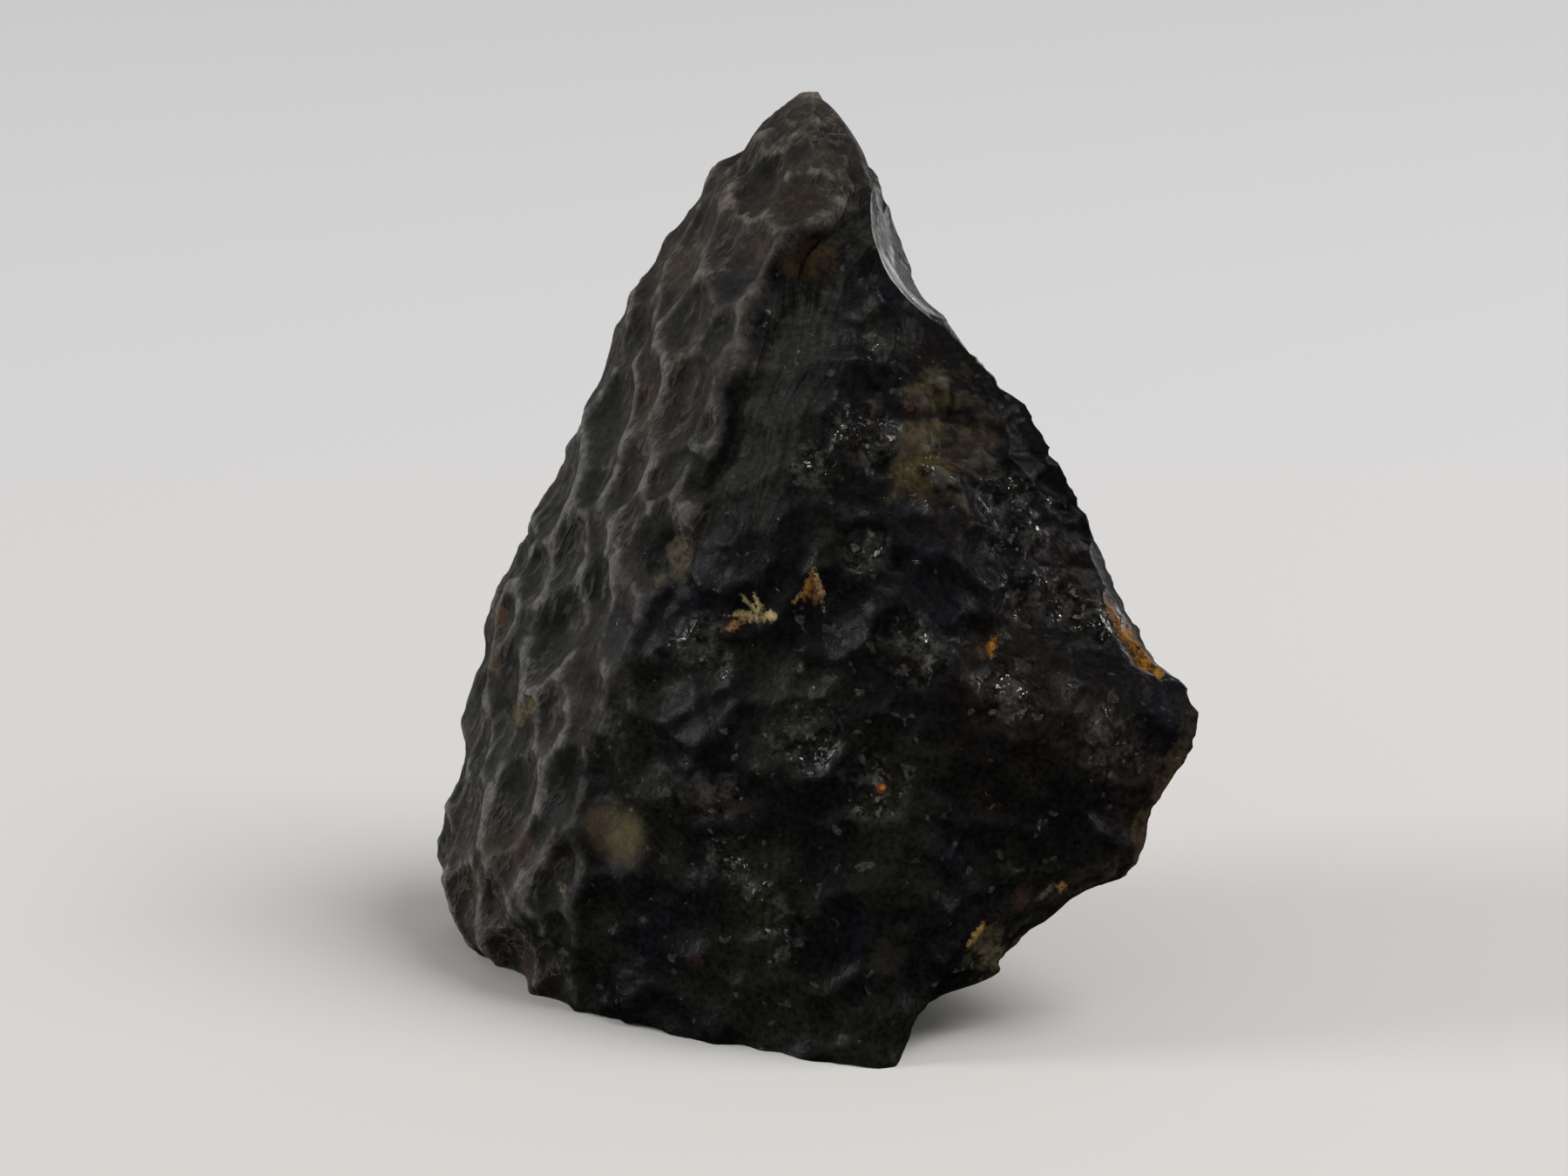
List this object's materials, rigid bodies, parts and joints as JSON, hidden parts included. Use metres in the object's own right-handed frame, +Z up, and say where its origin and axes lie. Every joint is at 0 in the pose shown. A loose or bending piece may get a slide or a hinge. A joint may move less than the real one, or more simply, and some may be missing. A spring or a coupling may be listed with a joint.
{
  "type": "indochinite tektite",
  "caption": "Broken piece of natural black glass with a pitted grey skin, flaked edges and a flat broken foot to stand on.",
  "frame": {"origin": "middle of the bounding box across and front to back, at the height of the foot's flat face", "axes": "+Z up, +X to the right seen from the front, -Y towards the tall glossy face, which leans back"},
  "size_m": [0.0356, 0.027, 0.0399],
  "materials": {
    "tektite_glass": "natural black glass, matte grey and scalloped where weathered, glossy where broken"
  },
  "bodies": {
    "root": {"tektite": "tektite_glass"}
  },
  "joints": []
}
